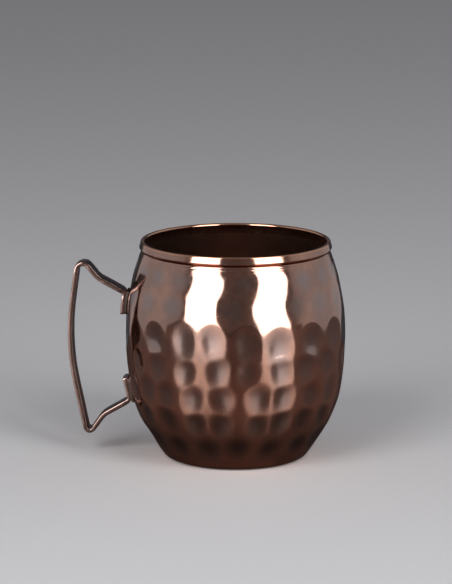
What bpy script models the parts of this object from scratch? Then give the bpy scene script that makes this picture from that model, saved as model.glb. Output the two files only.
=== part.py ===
"""A hammered copper mug: a barrel-shaped sheet-copper body with a rolled lip and a bent flat-bar handle.

The origin is at the centre of the flat underside, +Z is up along the barrel's axis, and the handle points
to -X. Lengths are in metres.
"""

import math

import bmesh
import bpy
import numpy as np
from mathutils import Vector

# ---------------------------------------------------------------- driving dimensions
GAP = 0.0003                # clearance between pieces that touch
SHEET = 0.0009              # copper sheet of the body
AROUND = 60                 # facets around the barrel

BASE_R = 0.0292             # flat underside, out to where its corner starts
CORNER_R = 0.0035           # outside radius of the corner between base and wall
CORNER_TURN = math.radians(53)
BARREL = [                  # outside of the wall above the corner: (radius, height)
    (0.0372, 0.009),
    (0.04235, 0.018),
    (0.0456, 0.028),
    (0.0474, 0.041),
    (0.0480, 0.055),
    (0.0463, 0.073),
    (0.04135, 0.0902),
]
FOOT_SLOPE = 0.74           # change of radius with height just above the corner
NECK_SLOPE = -0.37          # and just below the lip

NECK_R = 0.0405             # outside of the wall where the lip covers it
LIP_R = 0.0419              # outermost radius of the rolled lip
LIP_BOTTOM = 0.0914         # lower edge of the lip's outer face
LIP_TOP = 0.0952            # highest point of the mug
LIP_EDGE_R = 0.0005         # burnished lower edge of the curl
CREASE = 0.0002             # step in the wall just under the lip's hollow

STRAP_W = 0.0090            # handle bar, across
STRAP_T = 0.0024            # handle bar, thick
STRAP_EDGE_R = 0.0006       # its rounded edges
FOOT_GAP = GAP + 0.00005    # between a foot and the wall
UPPER_FOOT = (0.0624, 0.0716)   # heights of the upper foot's free end and of its bend
LOWER_FOOT = (0.0334, 0.0235)   # heights of the lower foot's free end and of its bend
HANDLE_BENDS = [            # corners of the bar's centre line from upper to lower foot: (x, z, bend radius)
    (-0.0600, 0.0780, 0.009),
    (-0.0685, 0.0882, 0.0029),
    (-0.0739, 0.0490, 0.110),
    (-0.0651, 0.0066, 0.0019),
    (-0.0579, 0.0168, 0.010),
]
FOOT_BEND_R = 0.0024        # centre-line radius of the bend at each foot

BRAZE_R = 0.0005            # bead of filler metal round each foot
BRAZE_TURN_R = 0.0012       # the bead's route round the foot's corners
BRAZE_STOP = 0.0015         # where the bead starts, short of the foot's bend

# ---------------------------------------------------------------- fineness of the facets
WALL_HEIGHTS = 15           # points up the outside of the wall
CORNER_STEPS = 4            # facets of the corner at the base
RIM_STEPS = 8               # of the top of the lip
EDGE_STEPS = 3              # of its lower edge
HOLLOW_STEPS = 4            # of the hollow in it
MERGE = 0.00001             # closes the outline on the axis
BEND_STEP = math.radians(15)    # coarsest facet of a bend in the bar
BEND_SEGMENT = 0.006            # and its longest
BAR_EDGE_SEGMENTS = 2           # facets of the bar's rounded edges
BAR_EDGE_ANGLE = math.radians(60)   # edges sharper than this are rounded
SHARP_ANGLE = math.radians(40)      # and facets steeper than this are shaded as edges
BRAZE_FLANK_POINTS = 6          # along each side of a foot
BRAZE_TURN_POINTS = 5           # round each of its corners


# ---------------------------------------------------------------- outlines
def cubic_through(stations, start_slope, end_slope):
    """Returns a function radius(z): the smooth curve through (radius, z) stations with given end slopes."""
    r = np.array([s[0] for s in stations])
    z = np.array([s[1] for s in stations])
    h = np.diff(z)
    n = len(z)
    a = np.zeros((n, n))
    b = np.zeros(n)
    a[0, 0] = a[-1, -1] = 1.0
    b[0], b[-1] = start_slope, end_slope
    for i in range(1, n - 1):
        a[i, i - 1], a[i, i], a[i, i + 1] = h[i], 2 * (h[i - 1] + h[i]), h[i - 1]
        b[i] = 3 * (h[i] * (r[i] - r[i - 1]) / h[i - 1] + h[i - 1] * (r[i + 1] - r[i]) / h[i])
    slope = np.linalg.solve(a, b)

    def radius(height):
        i = int(np.clip(np.searchsorted(z, height) - 1, 0, n - 2))
        t = (height - z[i]) / h[i]
        return float(
            (1 + 2 * t) * (1 - t) ** 2 * r[i]
            + t * (1 - t) ** 2 * h[i] * slope[i]
            + t * t * (3 - 2 * t) * r[i + 1]
            + t * t * (t - 1) * h[i] * slope[i + 1]
        )

    return radius


def corner_end():
    """Where the corner's arc meets the wall, on the outside: (radius, height)."""
    return (
        BASE_R + CORNER_R * math.sin(CORNER_TURN),
        CORNER_R * (1 - math.cos(CORNER_TURN)),
    )


wall_radius = cubic_through([corner_end()] + BARREL, FOOT_SLOPE, NECK_SLOPE)


def arc(centre, radius, start, end, steps):
    """Points on an arc in the (radius, height) plane, angles in degrees from +r towards +z."""
    turns = np.radians(np.linspace(start, end, steps + 1))
    return [(centre[0] + radius * math.cos(t), centre[1] + radius * math.sin(t)) for t in turns]


def offset(points, distance):
    """Moves an outline sideways by distance, to the left of its direction."""
    p = np.array(points)
    d = np.gradient(p, axis=0)
    d /= np.linalg.norm(d, axis=1)[:, None]
    return [(float(x), float(y)) for x, y in p + distance * np.stack([-d[:, 1], d[:, 0]], 1)]


def bar_path(corners):
    """Turns corners (x, z, bend radius) into points along straight runs joined by arcs."""
    points = [Vector(corners[0][:2])]
    for before, (x, z, bend), after in zip(corners, corners[1:-1], corners[2:]):
        here = Vector((x, z))
        u = (Vector(before[:2]) - here).normalized()
        v = (Vector(after[:2]) - here).normalized()
        inner = u.angle(v)
        centre = here + (u + v).normalized() * (bend / math.sin(inner / 2))
        start = here + u * (bend / math.tan(inner / 2)) - centre
        turn = math.copysign(math.pi - inner, start.cross(-u))
        steps = max(2, math.ceil(abs(turn) / BEND_STEP), math.ceil(abs(turn) * bend / BEND_SEGMENT))
        for k in range(steps + 1):
            c, s = math.cos(turn * k / steps), math.sin(turn * k / steps)
            points.append(centre + Vector((c * start.x - s * start.y, s * start.x + c * start.y)))
    points.append(Vector(corners[-1][:2]))
    return points


# ---------------------------------------------------------------- scene helpers
def material(name, colour, roughness):
    m = bpy.data.materials.new(name)
    m.use_nodes = True
    shader = m.node_tree.nodes["Principled BSDF"]
    shader.inputs["Base Color"].default_value = (*colour, 1.0)
    shader.inputs["Metallic"].default_value = 1.0
    shader.inputs["Roughness"].default_value = roughness
    m.diffuse_color = (*colour, 1.0)
    return m


def add_object(name, data, collection, mat):
    o = bpy.data.objects.new(name, data)
    data.materials.append(mat)
    collection.objects.link(o)
    return o


def mesh_from(name, points, edges):
    mesh = bpy.data.meshes.new(name)
    mesh.from_pydata(points, edges, [])
    return mesh


# ---------------------------------------------------------------- body
def body_outline():
    """The sheet's cut profile: up the inside, over the lip, down the outside and along the underside."""
    top = BARREL[-1][1]
    heights = np.linspace(top, corner_end()[1], WALL_HEIGHTS)
    outside = [(wall_radius(z), float(z)) for z in heights]
    outside += arc((BASE_R, CORNER_R), CORNER_R, math.degrees(CORNER_TURN) - 90, -90, CORNER_STEPS)[1:]
    # The inside face lies one sheet thickness in, and ends in the flat floor of the cup.
    inside = offset(outside, -SHEET)
    inside[-1] = (BASE_R, SHEET)

    neck_in = NECK_R - SHEET
    curl_r = (LIP_R - neck_in) / 2
    curl = (neck_in + curl_r, LIP_TOP - curl_r)
    hollow_r = curl_r - SHEET
    rim = arc(curl, curl_r, 180, 0, RIM_STEPS)
    edge = arc((LIP_R - LIP_EDGE_R, LIP_BOTTOM + LIP_EDGE_R), LIP_EDGE_R, 0, -90, EDGE_STEPS)
    tuck = [(LIP_R - SHEET, LIP_BOTTOM)]
    hollow = arc(curl, hollow_r, 0, 180, HOLLOW_STEPS)
    neck = [(NECK_R, LIP_BOTTOM + CREASE)]
    return [(0.0, SHEET)] + inside[::-1] + rim + edge + tuck + hollow + neck + outside + [(0.0, 0.0)]


def add_body(collection, mat):
    outline = [(r, 0.0, z) for r, z in body_outline()]
    mesh = mesh_from("body_shell", outline, [(i, i + 1) for i in range(len(outline) - 1)])
    body = add_object("body_shell", mesh, collection, mat)
    turn = body.modifiers.new("turn", "SCREW")
    turn.axis = "Z"
    turn.angle = 2 * math.pi
    turn.steps = turn.render_steps = AROUND
    turn.use_merge_vertices = True
    turn.merge_threshold = MERGE
    turn.use_smooth_shade = True
    return body


# ---------------------------------------------------------------- handle
def foot_line(end_z, bend_z):
    """A foot's centre line along the wall: its free end, and the corner where the bar leaves the wall."""
    middle = (end_z + bend_z) / 2
    slope = (wall_radius(bend_z) - wall_radius(end_z)) / (bend_z - end_z)
    away = (FOOT_GAP + STRAP_T / 2) * math.hypot(1, slope)
    # The wall bulges between the foot's ends, so the straight foot is set to clear it at mid-height.
    bulge = wall_radius(middle) - (wall_radius(end_z) + wall_radius(bend_z)) / 2
    return [(-(wall_radius(z) + max(bulge, 0.0) + away), z) for z in (end_z, bend_z)]


def handle_corners():
    upper_end, upper_bend = foot_line(*UPPER_FOOT)
    lower_end, lower_bend = foot_line(*LOWER_FOOT)
    return (
        [(*upper_end, 0.0), (*upper_bend, FOOT_BEND_R)]
        + HANDLE_BENDS
        + [(*lower_bend, FOOT_BEND_R), (*lower_end, 0.0)]
    )


def add_handle(collection, mat):
    """A strip as wide as the bar, bent along the path, given its thickness and its rounded edges."""
    mesh = bpy.data.meshes.new("handle")
    bm = bmesh.new()
    path = bar_path(handle_corners())
    near, far = [
        [bm.verts.new((p.x, side * STRAP_W / 2, p.y)) for p in path] for side in (-1, 1)
    ]
    for i in range(len(path) - 1):
        bm.faces.new((near[i], near[i + 1], far[i + 1], far[i]))
    bm.to_mesh(mesh)
    bm.free()
    mesh.shade_smooth()
    mesh.set_sharp_from_angle(angle=SHARP_ANGLE)
    handle = add_object("handle", mesh, collection, mat)
    thick = handle.modifiers.new("thickness", "SOLIDIFY")
    thick.thickness = STRAP_T
    thick.offset = 0.0
    thick.use_even_offset = True
    edges = handle.modifiers.new("rounded edges", "BEVEL")
    edges.width = STRAP_EDGE_R
    edges.segments = BAR_EDGE_SEGMENTS
    edges.limit_method = "ANGLE"
    edges.angle_limit = BAR_EDGE_ANGLE
    return handle


# ---------------------------------------------------------------- braze joints
def add_braze_joint(name, foot, collection, mat):
    """A bead of filler metal on the wall, along both sides of a foot and round its free end."""
    end_z, bend_z = foot
    along = 1 if bend_z > end_z else -1
    side = STRAP_W / 2 + GAP + BRAZE_R
    turn_r = BRAZE_TURN_R
    end = end_z - along * (GAP + BRAZE_R)
    start = bend_z - along * BRAZE_STOP
    round_end = [
        (side - turn_r * (1 - math.cos(t)), end + along * turn_r * (1 - math.sin(t)))
        for t in np.radians(np.linspace(0, 90, BRAZE_TURN_POINTS))
    ]
    flank = [(side, float(z)) for z in np.linspace(start, end + along * turn_r, BRAZE_FLANK_POINTS)[:-1]]
    half = flank + round_end
    route = half + [(0.0, end)] + [(-y, z) for y, z in reversed(half)]

    curve = bpy.data.curves.new(name, "CURVE")
    curve.dimensions = "3D"
    curve.bevel_depth = BRAZE_R
    curve.bevel_resolution = 2
    curve.use_fill_caps = True
    spline = curve.splines.new("POLY")
    spline.points.add(len(route) - 1)
    for point, (y, z) in zip(spline.points, route):
        off = wall_radius(z) + FOOT_GAP + BRAZE_R
        point.co = (-math.sqrt(off**2 - y**2), y, z, 1.0)
    return add_object(name, curve, collection, mat)


def main():
    for o in list(bpy.data.objects):
        bpy.data.objects.remove(o, do_unlink=True)
    collection = bpy.data.collections.new("copper_mug")
    bpy.context.scene.collection.children.link(collection)

    add_body(collection, material("antique_copper", (0.33, 0.17, 0.12), 0.25))
    add_handle(collection, material("handle_copper", (0.30, 0.17, 0.13), 0.30))
    add_braze_joint(
        "upper_braze_joint", UPPER_FOOT, collection, material("upper_filler_metal", (0.36, 0.24, 0.17), 0.40)
    )
    add_braze_joint(
        "lower_braze_joint", LOWER_FOOT, collection, material("lower_filler_metal", (0.36, 0.24, 0.17), 0.40)
    )


main()
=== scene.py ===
"""The looks of the copper mug: hammered body, bent handle, braze joints, materials and a small studio."""

import math

import bpy
import numpy as np
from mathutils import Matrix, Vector


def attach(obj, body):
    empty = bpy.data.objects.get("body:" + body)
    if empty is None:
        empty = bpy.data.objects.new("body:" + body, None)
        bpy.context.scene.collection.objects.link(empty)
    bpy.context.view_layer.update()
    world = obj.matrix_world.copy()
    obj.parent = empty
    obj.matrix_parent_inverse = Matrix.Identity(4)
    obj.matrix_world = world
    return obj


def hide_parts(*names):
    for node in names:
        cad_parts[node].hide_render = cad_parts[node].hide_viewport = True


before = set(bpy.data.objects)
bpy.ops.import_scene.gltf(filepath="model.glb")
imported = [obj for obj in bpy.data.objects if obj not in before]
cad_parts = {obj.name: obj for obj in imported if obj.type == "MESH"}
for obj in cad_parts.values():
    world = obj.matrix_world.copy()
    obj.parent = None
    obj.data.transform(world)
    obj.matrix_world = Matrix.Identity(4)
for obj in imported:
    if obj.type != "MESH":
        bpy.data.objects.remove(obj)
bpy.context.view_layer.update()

MM = 0.001

# ---------------------------------------------------------------- the design's dimensions, in mm
SHEET = 0.9
BASE_R = 29.2
CORNER_R = 3.5
CORNER_TURN = math.radians(53)
BARREL = [                  # outside of the wall above the corner: (radius, height)
    (37.2, 9.0),
    (42.35, 18.0),
    (45.6, 28.0),
    (47.4, 41.0),
    (48.0, 55.0),
    (46.3, 73.0),
    (41.35, 90.2),
]
FOOT_SLOPE = 0.74
NECK_SLOPE = -0.37
NECK_R = 40.5
LIP_R = 41.9
LIP_BOTTOM = 91.4
LIP_TOP = 95.2

STRAP_W = 9.0               # handle bar, across
STRAP_T = 2.4               # handle bar, thick
UPPER_FOOT = (62.4, 71.6)   # heights of the free end and of the bend
LOWER_FOOT = (33.4, 23.5)
HANDLE_BENDS = [            # corners of the bar's centre line: (x, z, bend radius)
    (-60.0, 78.0, 9.0),
    (-68.5, 88.2, 2.9),
    (-73.9, 49.0, 110.0),
    (-65.1, 6.6, 1.9),
    (-57.9, 16.8, 10.0),
]
FOOT_BEND_R = 2.4
FOOT_GAP = 0.35             # between a foot and the smooth wall

# ---------------------------------------------------------------- the lip, in mm
LIP_INNER_R = 0.85          # roundings of its top, towards the drink
LIP_OUTER_R = 0.55          # and outwards,
LIP_EDGE_R = 0.5            # of its lower edge, turned under,
LIP_HOLLOW_R = 0.35         # and of the top of the hollow in it
CREASE = [                  # from the hollow to the wall, against NECK_R and LIP_BOTTOM
    (-0.15, 0.5),
    (-0.05, 0.0),
    (0.10, -0.22),
    (0.45, -0.4),
    (0.65, -0.75),
]
LIP_SWAY = [                # how far the lip is out of round: (mm, waves round the mug, phase)
    (0.05, 3, 0.6),
    (0.03, 7, 2.0),
]
LIP_SWAY_FROM, LIP_SWAY_OVER = 90.5, 1.5    # height where the sway starts, and mm until it is full

GROOVE_HEIGHT = 89.75       # groove spun in the wall just under the lip
GROOVE_DEPTH = 0.07
GROOVE_HALF_WIDTH = 0.28
GROOVE_WOBBLE = 0.08
WRINKLE_HEIGHT = 89.3       # wrinkles where the sheet was gathered under the lip
WRINKLE_DEPTH = 0.05
WRINKLE_HALF_HEIGHT = 0.8
WRINKLE_DIRECTION = 20.0    # degrees to the right of the viewing side
WRINKLE_HALF_ANGLE = 11.0
WRINKLE_RATE = 5.5          # radians per mm up
WRINKLE_LEAN = 0.30         # radians per degree round

# ---------------------------------------------------------------- the bar and the braze, in mm
BAR_EDGE_R = 0.65           # its rounded long edges
BEND_THINS = 0.10           # share of its thickness that a tight bend loses
BEND_NARROWS = 0.035        # and of its width
TIGHT_BEND = 2.4            # radius of bend at which it loses all of that
RIPPLES = [                 # unevenness of the bar: (mm, radians per mm along it)
    (0.05, 0.55),
    (0.04, 0.23),
]
FILED_END = [               # rings of a filed end: (smaller all round, beyond the bar's end)
    (0.10, 0.12),
    (0.30, 0.24),
    (0.60, 0.30),
]
FILED_THINNEST = 0.9        # what filing leaves of its thickness
FILLET_REACH = 0.55         # width of the braze fillet on the wall
FILLET_RISE = 1.25          # and its height up the bar's side
FILLET_CURVE = 1.9          # how hollow its face is
FILLET_EDGE = 0.02          # thickness of its thin edge
FILLET_TURN_R = 1.0         # the route round a foot's corners
FILLET_PAST_BEND = 0.7      # length beyond the foot's bend
FILLET_ROOT = 0.25          # how deep it goes into the wall
FILLET_UNDER_BAR = 0.45     # and how far under the bar's edge

# ---------------------------------------------------------------- mesh fineness
AROUND = 300                # columns round the body
FLOOR_ROWS = 8
CORNER_ROWS = 10
WALL_ROWS = 140             # rows up the outside of the wall
FINE_FROM, FINE_ROWS = 86.6, 25     # closer rows under the lip, from this height up
INSIDE_ROWS = 60
INSIDE_COUNT = FLOOR_ROWS + INSIDE_ROWS + CORNER_ROWS
LENGTH_SAMPLES = 600        # for measuring along the wall
BAR_STEP = 0.5              # mm along the handle bar
BEND_STEP = 0.4             # mm along its bends, before that
BAR_AROUND = 40             # points round the bar
FILLET_ACROSS = 7           # points across a fillet's face

# ---------------------------------------------------------------- hammer marks
CAMERA_SIDE = 4.0           # degrees that the viewing side is turned from -Y towards +X
# Rings of marks from the top down: height, marks round the ring, depth, a mark's reach above and below its
# deepest point, and the directions of the marks on the viewing side, in degrees to the right of its middle.
RINGS = [
    (85.5, 20, 0.24, 7.5, 8.5, [-50, -32, -13, 6, 24, 42, 60]),
    (73.5, 20, 0.27, 7.0, 8.0, [-55, -36, -19, -2, 15, 34, 52]),
    (58.3, 20, 0.74, 9.4, 12.0, [-64, -46.5, -28, -12, 6, 23.0, 43, 63]),
    (47.2, 21, 0.72, 7.0, 11.0, [-62, -45, -27, -9, 6, 24, 40, 57]),
    (35.0, 21, 0.85, 7.2, 10.5, [-54, -40, -23.5, -7, 12, 26, 44, 61]),
    (23.2, 20, 0.85, 7.0, 9.5, [-60, -41, -23, -8, 12, 26, 41, 58]),
    (11.4, 17, 0.80, 6.8, 9.0, [-60, -39, -17.5, 1.5, 22.5, 44, 64]),
]
# Marks struck off their ring, or harder or lighter: (ring, direction): (mm higher, share of its depth).
STRAY_MARKS = {
    (58.3, -64): (0.0, 0.55),
    (58.3, -46.5): (0.0, 1.15),
    (58.3, -28): (1.5, 0.95),
    (58.3, -12): (1.7, 1.05),
    (58.3, 23): (-1.2, 1.3),
    (35.0, 12): (0.0, 1.25),
    (58.3, 43): (0.0, 1.15),
    (47.2, 24): (0.0, 1.2),
    (47.2, -9): (0.0, 0.95),
}
MARK_OVERLAP = 0.98         # width of a mark against the spacing of its ring
MARK_POWER = 2.0            # how softly a mark runs out at its edge
MARK_BLEND = 3              # how sharp the ridge between marks stays
MARK_SEED = 11
MARK_STRAY = 2.0            # degrees that a mark on the far side strays from even spacing
MARK_DRIFT = 0.35           # mm that a mark strays from its ring
MARK_REACH = (0.93, 1.07)   # shares of the ring's reach
MARK_WIDTH = (0.94, 1.08)   # of its width
MARK_DEPTH = (0.88, 1.12)   # and of its depth that single marks have
MARK_TILT = 0.12            # how far a mark leans sideways, mm per mm
WAVES = [                   # slow waves of the wall: (mm, waves round the mug, radians per mm up, phase)
    (0.05, 5, 0.09, 0.8),
    (0.03, 9, -0.13, 2.1),
    (0.03, 3, 0.21, 0.0),
]
PLAIN_BAND = 0.5            # mm under the wall's top that stay unhammered
FADE_TOP, FADE_BOTTOM = 5.0, 4.0    # mm over which the hammering comes in from the top and from the base


# ---------------------------------------------------------------- outlines
def cubic_through(stations, start_slope, end_slope):
    """Returns a function radius(z): the smooth curve through (radius, z) stations with given end slopes."""
    r = np.array([s[0] for s in stations])
    z = np.array([s[1] for s in stations])
    h = np.diff(z)
    n = len(z)
    a = np.zeros((n, n))
    b = np.zeros(n)
    a[0, 0] = a[-1, -1] = 1.0
    b[0], b[-1] = start_slope, end_slope
    for i in range(1, n - 1):
        a[i, i - 1], a[i, i], a[i, i + 1] = h[i], 2 * (h[i - 1] + h[i]), h[i - 1]
        b[i] = 3 * (h[i] * (r[i] - r[i - 1]) / h[i - 1] + h[i - 1] * (r[i + 1] - r[i]) / h[i])
    slope = np.linalg.solve(a, b)

    def radius(height):
        height = np.asarray(height, float)
        i = np.clip(np.searchsorted(z, height) - 1, 0, n - 2)
        t = (height - z[i]) / h[i]
        return (
            (1 + 2 * t) * (1 - t) ** 2 * r[i]
            + t * (1 - t) ** 2 * h[i] * slope[i]
            + t * t * (3 - 2 * t) * r[i + 1]
            + t * t * (t - 1) * h[i] * slope[i + 1]
        )

    return radius


CORNER_END = (BASE_R + CORNER_R * math.sin(CORNER_TURN), CORNER_R * (1 - math.cos(CORNER_TURN)))
wall_radius = cubic_through([CORNER_END] + BARREL, FOOT_SLOPE, NECK_SLOPE)


def arc(centre, radius, start, end, steps):
    """Points on an arc in the (radius, height) plane, angles in degrees from +r towards +z."""
    turns = np.radians(np.linspace(start, end, steps + 1))
    return np.stack([centre[0] + radius * np.cos(turns), centre[1] + radius * np.sin(turns)], 1)


def left_normals(points):
    """Unit normals to the left of an outline's direction."""
    d = np.gradient(points, axis=0)
    d /= np.linalg.norm(d, axis=1)[:, None]
    return np.stack([-d[:, 1], d[:, 0]], 1)


# ---------------------------------------------------------------- the hammered surface
_heights = np.linspace(CORNER_END[1], BARREL[-1][1], LENGTH_SAMPLES)
_radii = wall_radius(_heights)
_lengths = np.concatenate([[0], np.cumsum(np.hypot(np.diff(_radii), np.diff(_heights)))])


def along_wall(height):
    """Distance up the wall from the corner, measured along the sheet."""
    return np.interp(height, _heights, _lengths)


def place_marks():
    """All hammer marks: (direction, place along the wall, half width, reach up, reach down, depth, tilt)."""
    rng = np.random.default_rng(MARK_SEED)
    marks = []
    for height, count, depth, above, below, seen in RINGS:
        pitch = 360.0 / count
        first, last = seen[0], seen[-1]
        hidden = max(1, round((360 - (last - first)) / pitch)) - 1
        gap = (360 - (last - first)) / (hidden + 1)
        rest = [last + gap * (k + 1) + rng.uniform(-MARK_STRAY, MARK_STRAY) for k in range(hidden)]
        for direction in seen + rest:
            higher, strength = STRAY_MARKS.get((height, direction), (0.0, 1.0))
            half_width = math.radians(pitch) * float(wall_radius(height)) / 2 * MARK_OVERLAP
            size = rng.uniform(*MARK_REACH)
            marks.append(
                (
                    direction,
                    float(along_wall(height + higher)) + rng.normal(0, MARK_DRIFT),
                    half_width * rng.uniform(*MARK_WIDTH),
                    above * size,
                    below * size + higher,
                    depth * strength * rng.uniform(*MARK_DEPTH),
                    rng.uniform(-MARK_TILT, MARK_TILT),
                )
            )
    return marks


MARKS = place_marks()


def hammered(direction, height):
    """How the hammer left the wall, for arrays of directions (degrees) and heights.

    Returns the depth below the smooth barrel in mm, and how near each point is to a mark's middle, 0 to 1."""
    place = along_wall(height)
    radius = wall_radius(np.clip(height, CORNER_END[1], BARREL[-1][1]))
    total = np.zeros(np.broadcast(direction, height).shape)
    hollow = np.zeros(total.shape)
    for toward, centre, half_width, above, below, depth, tilt in MARKS:
        across = np.radians((direction - toward + 180) % 360 - 180) * radius
        up = place - centre
        across = across + tilt * up
        reach = np.where(up > 0, above, below)
        inside = np.clip(1 - (across / half_width) ** 2 - (up / reach) ** 2, 0, None)
        total += (depth * inside**MARK_POWER) ** MARK_BLEND
        hollow = np.maximum(hollow, inside**MARK_POWER)
    marks = total ** (1 / MARK_BLEND)
    turn = np.radians(direction)
    waves = sum(size * np.sin(count * turn + rise * height + phase) for size, count, rise, phase in WAVES)
    return marks + waves, hollow


def smooth_step(t):
    t = np.clip(t, 0, 1)
    return t * t * (3 - 2 * t)


def fade(height):
    """1 on the hammered wall, 0 at the lip and at the base corner, where the sheet is smooth."""
    top = smooth_step((BARREL[-1][1] - PLAIN_BAND - height) / FADE_TOP)
    return top * smooth_step((height - CORNER_END[1]) / FADE_BOTTOM)


# ---------------------------------------------------------------- meshes
def add_mesh(name, points, faces, smooth_angle=None):
    mesh = bpy.data.meshes.new(name)
    mesh.from_pydata([tuple(p) for p in points], [], faces)
    mesh.update()
    mesh.shade_smooth()
    if smooth_angle:
        mesh.set_sharp_from_angle(angle=math.radians(smooth_angle))
    o = bpy.data.objects.new(name, mesh)
    bpy.context.scene.collection.objects.link(o)
    return o


def ring_faces(rows, columns):
    """Quads of a grid whose columns run round in a circle."""
    faces = []
    for i in range(rows - 1):
        for j in range(columns):
            a, b = i * columns, (i + 1) * columns
            k = (j + 1) % columns
            faces.append((a + j, b + j, b + k, a + k))
    return faces


def lip_outline():
    """Rounded top, a face that leans outwards, an edge turned under, a small hollow, and the crease."""
    left, top = NECK_R - SHEET + LIP_INNER_R, LIP_TOP - LIP_INNER_R
    return np.concatenate(
        [
            arc((left, top), LIP_INNER_R, 180, 90, 8),
            arc((left + 0.28, LIP_TOP - LIP_OUTER_R), LIP_OUTER_R, 84, 14, 6),
            arc((LIP_R - LIP_EDGE_R, LIP_BOTTOM + 0.95), LIP_EDGE_R, 13, -95, 10),
            [(LIP_R - 1.0, LIP_BOTTOM + 0.5)],
            arc((left + 0.1, top - 0.5), LIP_HOLLOW_R, 0, 180, 8),
            [(NECK_R + out, LIP_BOTTOM + up) for out, up in CREASE],
        ]
    )


def body_outline():
    """Rows of the sheet from the middle of the cup's floor over the lip to the middle of the underside.

    Returns the rows' (radius, height), their outward normals, and how much of the hammering each takes."""
    fine = np.linspace(BARREL[-1][1], FINE_FROM, FINE_ROWS)
    coarse = np.linspace(FINE_FROM, CORNER_END[1], WALL_ROWS)
    heights = np.concatenate([fine, coarse[1:]])
    wall = np.stack([wall_radius(heights), heights], 1)
    corner = arc((BASE_R, CORNER_R), CORNER_R, math.degrees(CORNER_TURN) - 90, -90, CORNER_ROWS)[1:]
    outside = np.concatenate([wall, corner])
    normal_out = left_normals(outside)
    weight_out = np.concatenate([fade(heights), np.zeros(len(corner))])

    coarse = np.linspace(BARREL[-1][1], CORNER_END[1], INSIDE_ROWS)
    inside = np.concatenate([np.stack([wall_radius(coarse), coarse], 1), corner])
    normal_in = left_normals(inside)
    inside = inside - SHEET * normal_in
    inside[-1] = (BASE_R, SHEET)
    weight_in = np.concatenate([fade(coarse), np.zeros(len(corner))])

    rim = lip_outline()
    floor_in = np.stack([np.linspace(0.0, BASE_R, FLOOR_ROWS + 1)[:-1], np.full(FLOOR_ROWS, SHEET)], 1)
    under = np.stack([np.linspace(BASE_R, 0.0, FLOOR_ROWS + 1)[1:], np.zeros(FLOOR_ROWS)], 1)

    rows = np.concatenate([floor_in, inside[::-1], rim, outside, under])
    flat = np.zeros((1, 2))
    normals = np.concatenate(
        [
            flat.repeat(len(floor_in), 0),
            normal_in[::-1],
            flat.repeat(len(rim), 0),
            normal_out,
            flat.repeat(len(under), 0),
        ]
    )
    weights = np.concatenate(
        [np.zeros(len(floor_in)), weight_in[::-1], np.zeros(len(rim)), weight_out, np.zeros(len(under))]
    )
    return rows, normals, weights


def bell(distance, half_width):
    return np.exp(-((distance / half_width) ** 2))


def crease_lines(direction, height):
    """Depth in mm of the groove spun just under the lip, and of wrinkles where the sheet was gathered."""
    wobble = GROOVE_WOBBLE * np.sin(np.radians(direction) * 4 + 1.0)
    groove = GROOVE_DEPTH * bell(height - GROOVE_HEIGHT - wobble, GROOVE_HALF_WIDTH)
    gathered = bell((direction - WRINKLE_DIRECTION + 180) % 360 - 180, WRINKLE_HALF_ANGLE)
    wrinkles = WRINKLE_DEPTH * np.sin(height * WRINKLE_RATE + direction * WRINKLE_LEAN)
    return groove + gathered * wrinkles * bell(height - WRINKLE_HEIGHT, WRINKLE_HALF_HEIGHT)


def add_attribute(mesh, name, values):
    mesh.attributes.new(name, "FLOAT", "POINT").data.foreach_set("value", values)


def make_body():
    rows, normals, weights = body_outline()
    turns = np.arange(AROUND) * 360.0 / AROUND
    height = np.clip(rows[:, 1:2], CORNER_END[1], BARREL[-1][1])
    depth, hollow = hammered(turns[None, :], height)
    on_wall = np.linalg.norm(normals, axis=1)[:, None] > 0
    depth = weights[:, None] * depth + on_wall * crease_lines(turns[None, :], rows[:, 1:2])
    lip = np.clip((rows[:, 1:2] - LIP_SWAY_FROM) / LIP_SWAY_OVER, 0, 1)
    sway = sum(size * np.sin(np.radians(turns) * count + phase) for size, count, phase in LIP_SWAY)
    r = rows[:, 0:1] - depth * normals[:, 0:1] + lip * sway[None, :]
    z = rows[:, 1:2] - depth * normals[:, 1:2]

    # Directions are counted to the right of the viewing side's middle, as the marks' are.
    angle = np.radians(turns + CAMERA_SIDE)
    x, y = np.sin(angle)[None, :] * r, -np.cos(angle)[None, :] * r
    points = np.stack([x, y, np.broadcast_to(z, x.shape)], -1)[1:-1] * MM
    count = len(points)
    flat = points.reshape(-1, 3)
    faces = ring_faces(count, AROUND)
    first, last = len(flat), len(flat) + 1
    faces += [(first, j, (j + 1) % AROUND) for j in range(AROUND)]
    end = (count - 1) * AROUND
    faces += [(last, end + (j + 1) % AROUND, end + j) for j in range(AROUND)]
    poles = [(0, 0, rows[0, 1] * MM), (0, 0, rows[-1, 1] * MM)]
    body = add_mesh("hammered_body", np.concatenate([flat, poles]), faces)

    # For patina, painted shade and painted reflection: how deep each point lies in a hammer mark, which
    # points are inside the cup.
    in_mark = np.zeros(len(flat) + 2)
    in_mark[: len(flat)] = (weights[:, None] * hollow)[1:-1].reshape(-1)
    add_attribute(body.data, "hollow", in_mark)
    within = np.zeros(len(flat) + 2)
    within[: (INSIDE_COUNT - 1) * AROUND] = 1.0
    within[-2] = 1.0
    add_attribute(body.data, "lining", within)
    return body


# ---------------------------------------------------------------- handle
def foot_line(end_z, bend_z):
    """A foot's centre line along the smooth wall: its free end, and the corner where the bar leaves."""
    middle = (end_z + bend_z) / 2
    r_end, r_bend, r_middle = (float(wall_radius(z)) for z in (end_z, bend_z, middle))
    slope = (r_bend - r_end) / (bend_z - end_z)
    away = (FOOT_GAP + STRAP_T / 2) * math.hypot(1, slope)
    bulge = max(r_middle - (r_end + r_bend) / 2, 0.0)
    return [(-(r + bulge + away), z) for r, z in ((r_end, end_z), (r_bend, bend_z))]


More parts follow.
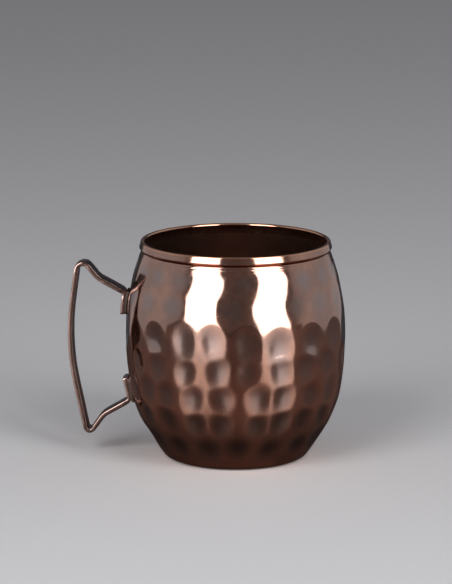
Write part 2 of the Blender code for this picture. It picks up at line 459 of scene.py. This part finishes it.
def bar_path():
    """The bar's centre line from the upper to the lower foot: evenly spaced (x, z), and the way along it."""
    upper_end, upper_bend = foot_line(*UPPER_FOOT)
    lower_end, lower_bend = foot_line(*LOWER_FOOT)
    corners = [(*upper_end, 0.0), (*upper_bend, FOOT_BEND_R)] + HANDLE_BENDS
    corners += [(*lower_bend, FOOT_BEND_R), (*lower_end, 0.0)]
    points = [Vector(corners[0][:2])]
    for before, (x, z, bend), after in zip(corners, corners[1:-1], corners[2:]):
        here = Vector((x, z))
        u = (Vector(before[:2]) - here).normalized()
        v = (Vector(after[:2]) - here).normalized()
        inner = u.angle(v)
        centre = here + (u + v).normalized() * (bend / math.sin(inner / 2))
        start = here + u * (bend / math.tan(inner / 2)) - centre
        turn = math.copysign(math.pi - inner, start.cross(-u))
        steps = max(8, math.ceil(abs(turn) * bend / BEND_STEP))
        for k in range(steps + 1):
            c, s = math.cos(turn * k / steps), math.sin(turn * k / steps)
            points.append(centre + Vector((c * start.x - s * start.y, s * start.x + c * start.y)))
    points.append(Vector(corners[-1][:2]))
    p = np.array([tuple(q) for q in points])
    length = np.concatenate([[0], np.cumsum(np.linalg.norm(np.diff(p, axis=0), axis=1))])
    even = np.linspace(0, length[-1], round(length[-1] / BAR_STEP) + 1)
    return np.stack([np.interp(even, length, p[:, 0]), np.interp(even, length, p[:, 1])], 1), even


def bar_section(width, thickness):
    """A flat bar's section with round edges: (across, thick) coordinates of its points."""
    across, thick = [], []
    for turn in np.linspace(0, 2 * np.pi, BAR_AROUND, endpoint=False):
        c, s = math.cos(turn), math.sin(turn)
        # The points gather at the edges, so that the flats stay flat.
        across.append(math.copysign(width / 2 - BAR_EDGE_R, c) * min(1, abs(c) * 1.25) + BAR_EDGE_R * c)
        thick.append(math.copysign(thickness / 2 - BAR_EDGE_R, s) * min(1, abs(s) * 3.0) + BAR_EDGE_R * s)
    return np.array(across), np.array(thick)


def bar_ring(place, normal, width, thickness):
    """A section of the bar, square to its path."""
    across, thick = bar_section(width, thickness)
    return np.stack([place[0] + normal[0] * thick, across, place[1] + normal[1] * thick], 1)


def make_handle():
    path, along = bar_path()
    tangent = np.gradient(path, axis=0)
    tangent /= np.linalg.norm(tangent, axis=1)[:, None]
    normal = np.stack([-tangent[:, 1], tangent[:, 0]], 1)
    bend = np.abs(np.gradient(np.unwrap(np.arctan2(tangent[:, 1], tangent[:, 0])), along))
    kernel = np.exp(-np.linspace(-2, 2, 9) ** 2)
    bend = np.convolve(bend, kernel / kernel.sum(), mode="same")
    phases = np.random.default_rng(5).uniform(0, 2 * np.pi, 4)
    ripple = sum(size * np.sin(along * rate + phase) for (size, rate), phase in zip(RIPPLES, phases))
    # A bar gets thinner and narrower where it is bent tightly.
    tight = np.clip(bend * TIGHT_BEND, 0, 1)
    thickness = STRAP_T * (1 - BEND_THINS * tight) + 0.5 * ripple
    width = STRAP_W * (1 - BEND_NARROWS * tight) + ripple

    rings = [bar_ring(*one) for one in zip(path, normal, width, thickness)]
    # The sawn ends are filed slightly round.
    for end, sign in ((0, -1), (-1, 1)):
        filed = []
        for inset, out in FILED_END:
            spot = path[end] + sign * tangent[end] * out
            thin = max(thickness[end] - 2 * inset, FILED_THINNEST)
            filed.append(bar_ring(spot, normal[end], width[end] - 2 * inset, thin))
        rings = filed[::-1] + rings if sign < 0 else rings + filed
    faces = [face[::-1] for face in ring_faces(len(rings), BAR_AROUND)]
    faces.append(tuple(range(BAR_AROUND))[::-1])
    faces.append(tuple(range((len(rings) - 1) * BAR_AROUND, len(rings) * BAR_AROUND)))
    return add_mesh("bent_handle", np.concatenate(rings) * MM, faces, smooth_angle=50)


# ---------------------------------------------------------------- braze joints
def braze_route(foot, up):
    """The fillet's way round three sides of a foot: (y, z), and the direction away from the bar there."""
    end_z, bend_z = foot
    side = STRAP_W / 2
    length = abs(bend_z - end_z) + FILLET_PAST_BEND
    route = []
    for k in np.linspace(0, 1, 12)[:-1]:
        route.append((side, bend_z - up * (k * (length - FILLET_TURN_R) - FILLET_PAST_BEND), 1.0, 0.0))
    for t in np.radians(np.linspace(0, 90, 7)):
        y, z = side - FILLET_TURN_R * (1 - math.cos(t)), end_z + up * FILLET_TURN_R * (1 - math.sin(t))
        route.append((y, z, math.cos(t), -up * math.sin(t)))
    for y in np.linspace(side - FILLET_TURN_R, 0, 8)[1:]:
        route.append((y, end_z, 0.0, -up))
    return route + [(-y, z, -out_y, out_z) for y, z, out_y, out_z in route[-2::-1]]


def off_wall(y, z, lift, follow):
    """A point lift mm off the wall: off the hammered wall where follow is 1, off the smooth where it is 0."""
    smooth = float(wall_radius(z))
    direction = -90 - CAMERA_SIDE - math.degrees(math.asin(y / smooth))
    depth = float(hammered(np.array(direction), np.array(z))[0] * fade(z))
    r = smooth - depth * follow + lift
    return (-math.sqrt(max(r * r - y * y, 0)), y, z)


def make_braze(name, foot):
    """A fillet of filler metal between the wall and a foot, along both sides and round the free end."""
    up = 1 if foot[1] > foot[0] else -1
    route = braze_route(foot, up)
    phases = np.random.default_rng(len(name)).uniform(0, 6.28, 3)
    points = []
    for i, (y, z, out_y, out_z) in enumerate(route):
        reach = FILLET_REACH + 0.08 * math.sin(i * 0.55 + phases[0]) + 0.05 * math.sin(i * 1.3 + phases[1])
        rise = FILLET_RISE + 0.12 * math.sin(i * 0.4 + phases[2])
        # A hollow face from the wall up to the bar's side, then back under the bar and into the wall:
        # (away from the bar, off the wall, how closely it follows the hammering).
        section = []
        for t in np.linspace(0, 1, FILLET_ACROSS):
            section.append((reach * (1 - t) ** FILLET_CURVE, FILLET_EDGE + rise * t**FILLET_CURVE, 1 - t))
        section.append((-FILLET_UNDER_BAR, rise + FILLET_EDGE, 0))
        section.append((-FILLET_UNDER_BAR, -FILLET_ROOT, 1))
        section.append((reach * 0.6, -FILLET_ROOT, 1))
        for away, lift, follow in section:
            points.append(off_wall(y + out_y * away, z + out_z * away, lift, follow))
    count = len(section)
    faces = [(a, d, c, b) for a, b, c, d in ring_faces(len(route), count)]
    faces.append(tuple(range(count))[::-1])
    faces.append(tuple(range((len(route) - 1) * count, len(route) * count)))
    if up > 0:
        faces = [face[::-1] for face in faces]
    return add_mesh(name, np.array(points) * MM, faces, smooth_angle=60)


# ---------------------------------------------------------------- materials
class Nodes:
    """Short forms for building a node tree, from nothing or onto the nodes that it has."""

    def __init__(self, tree, clear=True):
        self.tree = tree
        if clear:
            tree.nodes.clear()

    def add(self, kind, **inputs):
        node = self.tree.nodes.new(kind)
        for key, value in inputs.items():
            self.set(node, key, value)
        return node

    def set(self, node, key, value):
        """Links or sets an input, which key gives by its name or its number."""
        socket = node.inputs[key]
        if isinstance(value, bpy.types.NodeSocket):
            self.tree.links.new(value, socket)
        else:
            socket.default_value = value

    def math(self, operation, a, b=0.0, clamp=False):
        node = self.tree.nodes.new("ShaderNodeMath")
        node.operation = operation
        node.use_clamp = clamp
        self.set(node, 0, a)
        self.set(node, 1, b)
        return node.outputs[0]

    def mix(self, factor, a, b):
        node = self.tree.nodes.new("ShaderNodeMix")
        node.data_type = "RGBA"
        node.clamp_factor = True
        self.set(node, 0, factor)
        self.set(node, 6, a)
        self.set(node, 7, b)
        return node.outputs[2]

    def attribute(self, name):
        node = self.tree.nodes.new("ShaderNodeAttribute")
        node.attribute_name = name
        return node.outputs["Fac"]

    def noise(self, vector, scale, detail=3.0, roughness=0.55):
        node = self.add("ShaderNodeTexNoise", Vector=vector, Scale=scale, Detail=detail, Roughness=roughness)
        return node.outputs["Fac"]

    def stretch(self, vector, scale):
        node = self.tree.nodes.new("ShaderNodeMapping")
        self.set(node, "Vector", vector)
        self.set(node, "Scale", scale)
        return node.outputs[0]

    def range(self, value, low, high, to_low, to_high):
        node = self.tree.nodes.new("ShaderNodeMapRange")
        node.interpolation_type = "SMOOTHSTEP"
        for i, v in enumerate((value, low, high, to_low, to_high)):
            self.set(node, i, v)
        return node.outputs[0]


RUBBED = (0.78, 0.40, 0.24, 1)      # top of the lip
HOLLOW = (0.37, 0.315, 0.305, 1)    # greyer patina in the marks
WORN_AND_REFLECTION = (0.80, 0.46, 0.345, 1)       # ridges between them, worn and with painted reflection
LOW_PATINA_AND_SHADE = (0.16, 0.113, 0.095, 1)    # marks near the foot, patina with painted shade
LINING_AND_SHADE = (0.30, 0.19, 0.145, 1)     # inside of the cup, a duller lining with painted shade


def copper(name, bright, dark, rough_low, rough_high, grain):
    """Dark antique copper: mottled patina, an uneven polish and fine polishing lines along the grain.

    Returns the material, its nodes, and its shader, colour and place sockets for more work on it."""
    material = bpy.data.materials.new(name)
    material.use_nodes = True
    n = Nodes(material.node_tree)
    place = n.add("ShaderNodeTexCoord").outputs["Object"]
    large = n.noise(place, 70.0, 2.5)
    small = n.noise(place, 420.0, 4.0, 0.6)
    patina = n.math("ADD", n.math("MULTIPLY", large, 0.8), n.math("MULTIPLY", small, 0.2))
    tone = n.range(patina, 0.38, 0.62, 0.0, 1.0)
    colour = n.mix(tone, dark, bright)
    fine = n.noise(n.stretch(place, grain), 900.0, 3.0, 0.6)
    rough = n.range(small, 0.3, 0.75, rough_low, rough_high)
    bump = n.tree.nodes.new("ShaderNodeBump")
    n.set(bump, "Height", n.math("ADD", n.math("MULTIPLY", fine, 0.5), n.math("MULTIPLY", small, 0.5)))
    n.set(bump, "Strength", 0.10)
    n.set(bump, "Distance", 0.00008)
    shader = n.add("ShaderNodeBsdfPrincipled", Metallic=1.0)
    n.set(shader, "Base Color", colour)
    n.set(shader, "Roughness", rough)
    n.set(shader, "Normal", bump.outputs[0])
    out = n.tree.nodes.new("ShaderNodeOutputMaterial")
    n.set(out, "Surface", shader.outputs[0])
    return material, n, shader, colour, place


def body_copper():
    material, n, shader, colour, place = copper(
        "antique_copper", (0.57, 0.330, 0.250, 1), (0.43, 0.275, 0.225, 1), 0.075, 0.125, (1.0, 1.0, 6.0)
    )
    height = n.add("ShaderNodeSeparateXYZ", Vector=place).outputs["Z"]
    hollow = n.attribute("hollow")
    lined = n.attribute("lining")
    colour = n.mix(n.range(height, (LIP_TOP - 1.0) * MM, (LIP_TOP - 0.1) * MM, 0.0, 0.85), colour, RUBBED)
    colour = n.mix(n.math("MULTIPLY", hollow, 0.7), colour, HOLLOW)
    # The ridges on the lower half, less so near the base, are painted brighter: worn by handling, and a
    # painted reflection of the lit table.
    ridge = n.math("SUBTRACT", 1.0, n.math("MULTIPLY", hollow, 1.3), clamp=True)
    lower_half = n.range(height, 26 * MM, 56 * MM, 0.6, 0.0)
    off_base = n.range(height, 5 * MM, 22 * MM, 0.35, 1.0)
    colour = n.mix(n.math("MULTIPLY", ridge, n.math("MULTIPLY", lower_half, off_base)), colour, WORN_AND_REFLECTION)
    # Marks near the foot are painted darker: patina, and painted shade of the shaded table that they mirror.
    near_foot = n.math("MULTIPLY", n.range(height, 12 * MM, 40 * MM, 1.0, 0.0), hollow)
    colour = n.mix(n.math("MULTIPLY", near_foot, 0.75), colour, LOW_PATINA_AND_SHADE)
    # The inside of the cup is painted darker: a duller lining, and painted shade inside the cup.
    colour = n.mix(n.math("MULTIPLY", lined, 0.8), colour, LINING_AND_SHADE)
    rough = shader.inputs["Roughness"].links[0].from_socket
    n.set(shader, "Roughness", n.math("ADD", rough, n.math("MULTIPLY", lined, 0.22)))
    n.set(shader, "Base Color", colour)
    return material


def handle_copper():
    bright, dark = (0.42, 0.305, 0.275, 1), (0.31, 0.215, 0.19, 1)
    return copper("handle_copper", bright, dark, 0.12, 0.18, (6.0, 1.0, 1.0))[0]


def braze_metal_and_shade():
    # Nearly black: oxidised filler, and painted shade of the gap beside each foot.
    bright, dark = (0.075, 0.052, 0.044, 1), (0.04, 0.027, 0.022, 1)
    return copper("braze_metal_and_shade", bright, dark, 0.35, 0.50, (1.0, 1.0, 1.0))[0]


def matte(name, colour, roughness=0.9, specular=0.1):
    material = bpy.data.materials.new(name)
    material.use_nodes = True
    shader = material.node_tree.nodes["Principled BSDF"]
    shader.inputs["Base Color"].default_value = (*colour, 1)
    shader.inputs["Roughness"].default_value = roughness
    shader.inputs["Specular IOR Level"].default_value = specular
    return material


# ---------------------------------------------------------------- studio, in metres
CENTRE = Vector((0, 0, LIP_TOP / 2 * MM))
CAMERA_DISTANCE = 1.314
CAMERA_HEIGHT = 12.72               # degrees above the horizon
CAMERA_LENS = 185.0
AIM_LEFT, AIM_UP = 0.0042, 0.0239   # how far the camera aims beside and above the mug's middle

PALE_FLOOR = (0.60, 0.60, 0.61)
FLOOR_SIZE = 8.0
TABLE_OUTLINE = [                   # the mirrored table: wide in front, ending beside the mug
    (-0.31, 0.20),
    (-0.45, -0.10),
    (-1.6, -0.5),
    (-1.6, -1.6),
    (1.6, -1.6),
    (1.6, -0.55),
    (0.50, -0.14),
    (0.40, 0.22),
]
TABLE_SHADE = 0.036, 0.105          # distances over which the mug's shade on the table runs out
TABLE_NEAR = (0.052, 0.037, 0.033, 1)
TABLE_FAR = (0.095, 0.052, 0.042, 1)

STRIP_RADIANCE = 4.6
STRIP_DISTANCE = 1.0
STRIP_LOW, STRIP_HIGH = -0.45, 1.35     # heights of its ends
STRIPS = [                          # (name, degrees to the right of the viewing side, width)
    ("left_strip", -36.5, 0.62),
    ("right_strip", 40.0, 0.61),
]
ROOM_TURN = 2.5                     # degrees that the room is turned to the right
ROOM = [                            # brightness round it: (degrees from its front, colour)
    (0, (0.125, 0.100, 0.095)),
    (22, (0.15, 0.12, 0.115)),
    (62, (0.15, 0.12, 0.115)),
    (68, (0.35, 0.34, 0.35)),
    (84, (0.44, 0.44, 0.46)),
    (146, (0.39, 0.39, 0.41)),
    (151, (0.045, 0.045, 0.05)),
    (166, (0.045, 0.045, 0.05)),
    (172, (0.09, 0.09, 0.10)),
    (180, (0.09, 0.09, 0.10)),
]
CEILING = (0.22, 0.22, 0.23, 1)
CEILING_RISE = 0.62, 0.80           # upward part of the directions where it comes in


def toward(azimuth, elevation=0.0):
    """Unit vector, azimuth in degrees to the right of -Y."""
    a, e = math.radians(azimuth), math.radians(elevation)
    return Vector((math.sin(a) * math.cos(e), -math.cos(a) * math.cos(e), math.sin(e)))


def make_camera():
    data = bpy.data.cameras.new("camera")
    data.lens = CAMERA_LENS
    data.sensor_width = 36.0
    data.clip_start, data.clip_end = 0.05, 50.0
    camera = bpy.data.objects.new("camera", data)
    bpy.context.scene.collection.objects.link(camera)
    back = toward(CAMERA_SIDE, CAMERA_HEIGHT)
    right = Vector((0, 0, 1)).cross(back).normalized()
    up = back.cross(right)
    camera.location = CENTRE + back * CAMERA_DISTANCE
    aim = CENTRE - right * AIM_LEFT + up * AIM_UP
    camera.rotation_euler = (aim - camera.location).to_track_quat("-Z", "Y").to_euler()
    bpy.context.scene.camera = camera


def add_stage(name, outline, z, material):
    """A flat, level sheet of the studio."""
    sheet = add_mesh(name, [(x, y, z) for x, y in outline], [tuple(range(len(outline)))])
    sheet.data.materials.append(material)
    return sheet


def dark_table():
    """A dark top that is darker and duller where the mug shades it."""
    material = matte("dark_table", TABLE_FAR[:3], roughness=0.40)
    shader = material.node_tree.nodes["Principled BSDF"]
    n = Nodes(material.node_tree, clear=False)
    away = n.tree.nodes.new("ShaderNodeVectorMath")
    away.operation = "LENGTH"
    n.set(away, 0, n.add("ShaderNodeTexCoord").outputs["Object"])
    open_table = n.range(away.outputs["Value"], *TABLE_SHADE, 0.0, 1.0)
    n.set(shader, "Base Color", n.mix(open_table, TABLE_NEAR, TABLE_FAR))
    n.set(shader, "Specular IOR Level", n.range(open_table, 0.0, 1.0, 0.25, 0.6))
    n.set(shader, "Specular Tint", (1.0, 0.74, 0.64, 1))
    return material


def make_floor():
    """A pale floor for the camera, and the dark table top that the polished metal mirrors in its place."""
    half = FLOOR_SIZE / 2
    square = [(-half, -half), (half, -half), (half, half), (-half, half)]
    floor = add_stage("floor", square, -0.0003, matte("pale_floor", PALE_FLOOR))
    floor.visible_glossy = floor.visible_shadow = False
    table = add_stage("mirrored_table", TABLE_OUTLINE, -0.0002, dark_table())
    table.rotation_euler.z = math.radians(CAMERA_SIDE)
    table.visible_camera = table.visible_diffuse = table.visible_shadow = False


def add_strip(name, azimuth, width):
    """An upright strip light that faces the mug."""
    tall = STRIP_HIGH - STRIP_LOW
    data = bpy.data.lights.new(name, "AREA")
    data.shape = "RECTANGLE"
    data.size, data.size_y = width, tall
    data.energy = STRIP_RADIANCE * math.pi * width * tall
    light = bpy.data.objects.new(name, data)
    bpy.context.scene.collection.objects.link(light)
    spot = toward(CAMERA_SIDE + azimuth) * STRIP_DISTANCE
    light.location = (spot.x, spot.y, (STRIP_LOW + STRIP_HIGH) / 2)
    light.rotation_euler = (-spot).to_track_quat("-Z", "Y").to_euler()


def make_room():
    """The grey room round the mug: light side walls, a dark gap in front, dark cards at the back corners."""
    world = bpy.data.worlds.new("room")
    bpy.context.scene.world = world
    world.use_nodes = True
    n = Nodes(world.node_tree)
    way = n.add("ShaderNodeTexCoord").outputs["Generated"]
    xyz = n.add("ShaderNodeSeparateXYZ", Vector=way)
    side = math.radians(CAMERA_SIDE)
    x, y = xyz.outputs["X"], xyz.outputs["Y"]
    right = n.math("ADD", n.math("MULTIPLY", x, math.cos(side)), n.math("MULTIPLY", y, math.sin(side)))
    front = n.math("SUBTRACT", n.math("MULTIPLY", x, math.sin(side)), n.math("MULTIPLY", y, math.cos(side)))
    turned = n.math("SUBTRACT", n.math("DEGREES", n.math("ARCTAN2", right, front)), ROOM_TURN)
    ramp = n.add("ShaderNodeValToRGB", Fac=n.math("DIVIDE", n.math("ABSOLUTE", turned), 180.0))
    elements = ramp.color_ramp.elements
    while len(elements) > 1:
        elements.remove(elements[-1])
    for i, (degrees, colour) in enumerate(ROOM):
        element = elements[0] if i == 0 else elements.new(degrees / 180)
        element.position = degrees / 180
        element.color = (*colour, 1)
    colour = n.mix(n.range(xyz.outputs["Z"], *CEILING_RISE, 0.0, 1.0), ramp.outputs[0], CEILING)
    background = n.add("ShaderNodeBackground", Color=colour, Strength=1.0)
    out = n.tree.nodes.new("ShaderNodeOutputWorld")
    n.set(out, "Surface", background.outputs[0])


# ---------------------------------------------------------------- the whole scene
def dress(piece, node, material):
    """Gives a piece its material, ties it to the mug and lets it stand in for its CAD part."""
    piece.data.materials.append(material)
    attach(piece, "root")
    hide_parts(node)


make_camera()
make_floor()
make_room()
for strip in STRIPS:
    add_strip(*strip)

dress(make_body(), "body_shell", body_copper())
dress(make_handle(), "handle", handle_copper())
filler = braze_metal_and_shade()
dress(make_braze("upper_braze_fillet", UPPER_FOOT), "upper_braze_joint", filler)
dress(make_braze("lower_braze_fillet", LOWER_FOOT), "lower_braze_joint", filler)

bpy.context.scene.view_settings.view_transform = "Standard"
